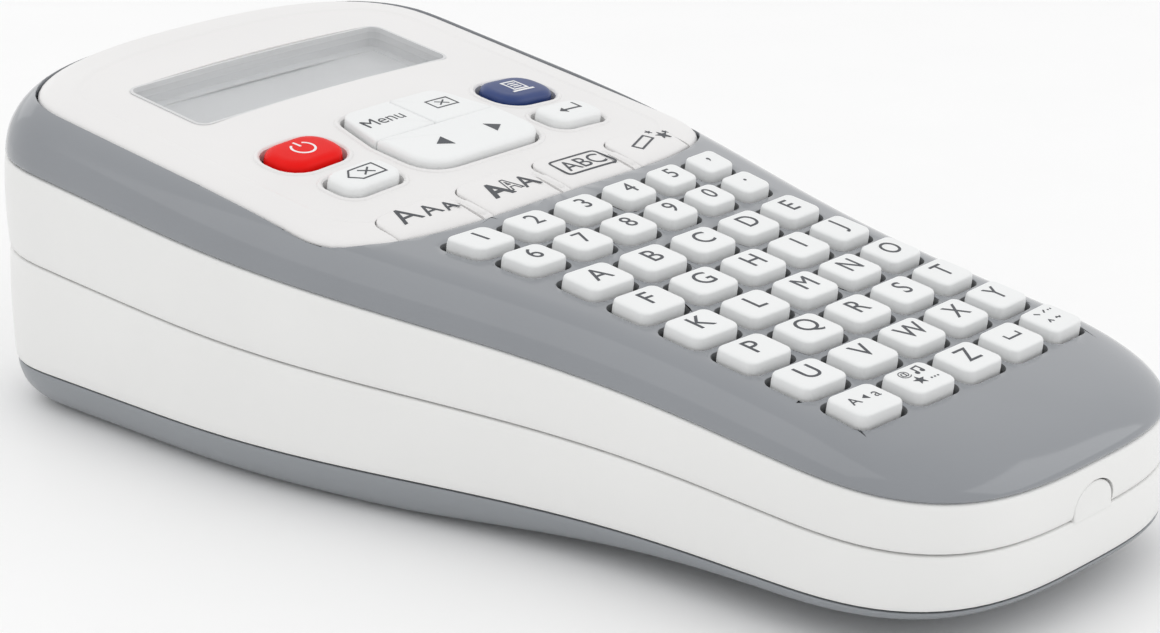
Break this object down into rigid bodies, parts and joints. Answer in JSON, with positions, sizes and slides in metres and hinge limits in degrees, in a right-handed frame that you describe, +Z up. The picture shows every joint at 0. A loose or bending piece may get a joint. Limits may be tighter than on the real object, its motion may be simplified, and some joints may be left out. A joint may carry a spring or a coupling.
{
  "type": "label maker",
  "caption": "Handheld label maker with a bowed letter keyboard on its grip, a display panel over its wide head, and a hinged back cover over a tape cassette and batteries.",
  "frame": {"origin": "centre of the footprint, on the surface it rests on", "axes": "+Z up, +Y from the grip to the display end, +X to the user's right"},
  "size_m": [0.1068, 0.2046, 0.0586],
  "materials": {
    "case_white": "fine satin white moulding",
    "case_grey": "glossy mid grey moulding",
    "panel_white": "satin warm white moulding",
    "key_white": "satin white keys",
    "key_red": "satin red key",
    "key_blue": "satin dark blue key",
    "window_clear": "clear polished window",
    "lcd_grey": "grey liquid crystal panel",
    "silicone_grey": "matt silicone",
    "board_green": "solder mask",
    "frame_dark": "dark moulded chassis",
    "steel": "bright steel",
    "roller_rubber": "ground rubber",
    "gear_plastic": "natural acetal",
    "battery_jacket": "plain printed jacket",
    "cassette_plastic": "smoky translucent moulding",
    "tape_white": "laminated tape"
  },
  "bodies": {
    "housing": {"upper_housing": "case_white", "keyboard_bezel": "case_grey", "display_panel": "panel_white", "display_window": "window_clear", "lcd_module": "lcd_grey", "keypad_mat": "silicone_grey", "main_board": "board_green", "chassis": "frame_dark", "print_head": "frame_dark", "heat_sink": "steel", "motor": "steel", "roller_holder": "steel", "tape_cassette": "cassette_plastic", "tape_strip": "tape_white", "battery_1": "battery_jacket", "battery_2": "battery_jacket", "battery_3": "battery_jacket", "battery_4": "battery_jacket", "battery_5": "battery_jacket", "battery_6": "battery_jacket", "battery_contacts_front": "steel", "battery_contacts_rear": "steel", "case_screw_1": "steel", "case_screw_2": "steel", "case_screw_3": "steel", "case_screw_4": "steel", "lever_pin": "steel", "lever_spring": "steel"},
    "back_cover": {"cover_wall": "case_white", "cover_base": "case_grey"},
    "platen": {"platen_roller": "roller_rubber", "platen_shaft": "steel"},
    "idler": {"idler_gear": "gear_plastic"},
    "motor_drive": {"motor_pinion": "gear_plastic"},
    "ribbon_drive": {"ribbon_spindle": "gear_plastic"},
    "supply_reel": {"tape_reel": "tape_white"},
    "cutter": {"cutter_lever": "case_grey"},
    "blade": {"blade_carrier": "frame_dark", "cutter_blade": "steel"},
    "rocker": {"arrow_rocker": "key_white"},
    "key_row_letters_1": {"key_row_letters_1": "key_white"},
    "key_row_letters_2": {"key_row_letters_2": "key_white"},
    "key_row_letters_3": {"key_row_letters_3": "key_white"},
    "key_row_letters_4": {"key_row_letters_4": "key_white"},
    "key_row_letters_5": {"key_row_letters_5": "key_white"},
    "key_row_letters_6": {"key_row_letters_6": "key_white"},
    "key_row_digits_lower": {"key_row_digits_lower": "key_white"},
    "key_row_digits_upper": {"key_row_digits_upper": "key_white"},
    "power_key": {"power_key": "key_red"},
    "print_key": {"print_key": "key_blue"},
    "backspace_key": {"backspace_key": "key_white"},
    "enter_key": {"enter_key": "key_white"},
    "menu_key": {"menu_key": "key_white"},
    "escape_key": {"escape_key": "key_white"},
    "size_key": {"size_key": "key_white"},
    "style_key": {"style_key": "key_white"},
    "frame_key": {"frame_key": "key_white"},
    "symbol_key": {"symbol_key": "key_white"}
  },
  "joints": [
    {"name": "back_cover_hinge", "type": "hinge", "parent": "housing", "child": "back_cover", "pos_m": [0, 0.1018, 0.0294], "axis": [1, 0, 0], "range_deg": [0, 60]},
    {"name": "platen_spin", "type": "hinge", "parent": "housing", "child": "platen", "pos_m": [0.02455, 0.076, 0.0365], "axis": [0, 0, 1], "continuous": true},
    {"name": "idler_spin", "type": "hinge", "parent": "housing", "child": "idler", "pos_m": [0.0353, 0.05738, 0.0365], "axis": [0, 0, 1], "continuous": true},
    {"name": "motor_spin", "type": "hinge", "parent": "housing", "child": "motor_drive", "pos_m": [0.03825, 0.04064, 0.0365], "axis": [0, 0, 1], "continuous": true},
    {"name": "ribbon_spin", "type": "hinge", "parent": "housing", "child": "ribbon_drive", "pos_m": [0.01049, 0.05433, 0.0365], "axis": [0, 0, 1], "continuous": true},
    {"name": "reel_spin", "type": "hinge", "parent": "housing", "child": "supply_reel", "pos_m": [-0.018, 0.04, 0.0365], "axis": [0, 0, 1], "continuous": true},
    {"name": "cutter_lever_hinge", "type": "hinge", "parent": "housing", "child": "cutter", "pos_m": [0.0482, 0.05, 0.0306], "axis": [0, 0, 1], "range_deg": [0, 8.5], "stiffness_Nm_per_rad": 0.5, "springref_deg": -4.58},
    {"name": "blade_slide", "type": "slide", "parent": "housing", "child": "blade", "axis": [-1, 0, 0], "range_m": [0, 0.0064]},
    {"name": "key_row_letters_1_press", "type": "slide", "parent": "housing", "child": "key_row_letters_1", "axis": [0, 0.1369, -0.9906], "range_m": [0, 0.0012], "stiffness_N_per_m": 600, "springref_m": -0.0006},
    {"name": "key_row_letters_2_press", "type": "slide", "parent": "housing", "child": "key_row_letters_2", "axis": [0, 0.1369, -0.9906], "range_m": [0, 0.0012], "stiffness_N_per_m": 600, "springref_m": -0.0006},
    {"name": "key_row_letters_3_press", "type": "slide", "parent": "housing", "child": "key_row_letters_3", "axis": [0, 0.1369, -0.9906], "range_m": [0, 0.0012], "stiffness_N_per_m": 600, "springref_m": -0.0006},
    {"name": "key_row_letters_4_press", "type": "slide", "parent": "housing", "child": "key_row_letters_4", "axis": [0, 0.1369, -0.9906], "range_m": [0, 0.0012], "stiffness_N_per_m": 600, "springref_m": -0.0006},
    {"name": "key_row_letters_5_press", "type": "slide", "parent": "housing", "child": "key_row_letters_5", "axis": [0, 0.1369, -0.9906], "range_m": [0, 0.0012], "stiffness_N_per_m": 600, "springref_m": -0.0006},
    {"name": "key_row_letters_6_press", "type": "slide", "parent": "housing", "child": "key_row_letters_6", "axis": [0, 0.1369, -0.9906], "range_m": [0, 0.0012], "stiffness_N_per_m": 600, "springref_m": -0.0006},
    {"name": "key_row_digits_lower_press", "type": "slide", "parent": "housing", "child": "key_row_digits_lower", "axis": [0, 0.1369, -0.9906], "range_m": [0, 0.0012], "stiffness_N_per_m": 600, "springref_m": -0.0006},
    {"name": "key_row_digits_upper_press", "type": "slide", "parent": "housing", "child": "key_row_digits_upper", "axis": [0, 0.1369, -0.9906], "range_m": [0, 0.0012], "stiffness_N_per_m": 600, "springref_m": -0.0006},
    {"name": "power_key_press", "type": "slide", "parent": "housing", "child": "power_key", "axis": [0, 0.1369, -0.9906], "range_m": [0, 0.001], "stiffness_N_per_m": 500, "springref_m": -0.0006},
    {"name": "print_key_press", "type": "slide", "parent": "housing", "child": "print_key", "axis": [0, 0.1369, -0.9906], "range_m": [0, 0.001], "stiffness_N_per_m": 500, "springref_m": -0.0006},
    {"name": "backspace_key_press", "type": "slide", "parent": "housing", "child": "backspace_key", "axis": [0, 0.1369, -0.9906], "range_m": [0, 0.001], "stiffness_N_per_m": 500, "springref_m": -0.0006},
    {"name": "enter_key_press", "type": "slide", "parent": "housing", "child": "enter_key", "axis": [0, 0.1369, -0.9906], "range_m": [0, 0.001], "stiffness_N_per_m": 500, "springref_m": -0.0006},
    {"name": "menu_key_press", "type": "slide", "parent": "housing", "child": "menu_key", "axis": [0, 0.1369, -0.9906], "range_m": [0, 0.001], "stiffness_N_per_m": 500, "springref_m": -0.0006},
    {"name": "escape_key_press", "type": "slide", "parent": "housing", "child": "escape_key", "axis": [0, 0.1369, -0.9906], "range_m": [0, 0.001], "stiffness_N_per_m": 500, "springref_m": -0.0006},
    {"name": "size_key_press", "type": "slide", "parent": "housing", "child": "size_key", "axis": [0, 0.1369, -0.9906], "range_m": [0, 0.001], "stiffness_N_per_m": 500, "springref_m": -0.0006},
    {"name": "style_key_press", "type": "slide", "parent": "housing", "child": "style_key", "axis": [0, 0.1369, -0.9906], "range_m": [0, 0.001], "stiffness_N_per_m": 500, "springref_m": -0.0006},
    {"name": "frame_key_press", "type": "slide", "parent": "housing", "child": "frame_key", "axis": [0, 0.1369, -0.9906], "range_m": [0, 0.001], "stiffness_N_per_m": 500, "springref_m": -0.0006},
    {"name": "symbol_key_press", "type": "slide", "parent": "housing", "child": "symbol_key", "axis": [0, 0.1369, -0.9906], "range_m": [0, 0.001], "stiffness_N_per_m": 500, "springref_m": -0.0006},
    {"name": "arrow_rocker_tilt", "type": "hinge", "parent": "housing", "child": "rocker", "pos_m": [0, 0.02863, 0.04319], "axis": [0, 0.9906, 0.1369], "range_deg": [-3, 3], "stiffness_Nm_per_rad": 0.05}
  ],
  "couplings": [
    {"joint": "motor_spin", "follows": "platen_spin", "ratio": 1.9},
    {"joint": "idler_spin", "follows": "platen_spin", "ratio": -0.79167},
    {"joint": "ribbon_spin", "follows": "platen_spin", "ratio": 0.73077},
    {"joint": "reel_spin", "follows": "platen_spin", "ratio": -0.25},
    {"joint": "blade_slide", "follows": "cutter_lever_hinge", "m_per_rad": 0.042}
  ]
}
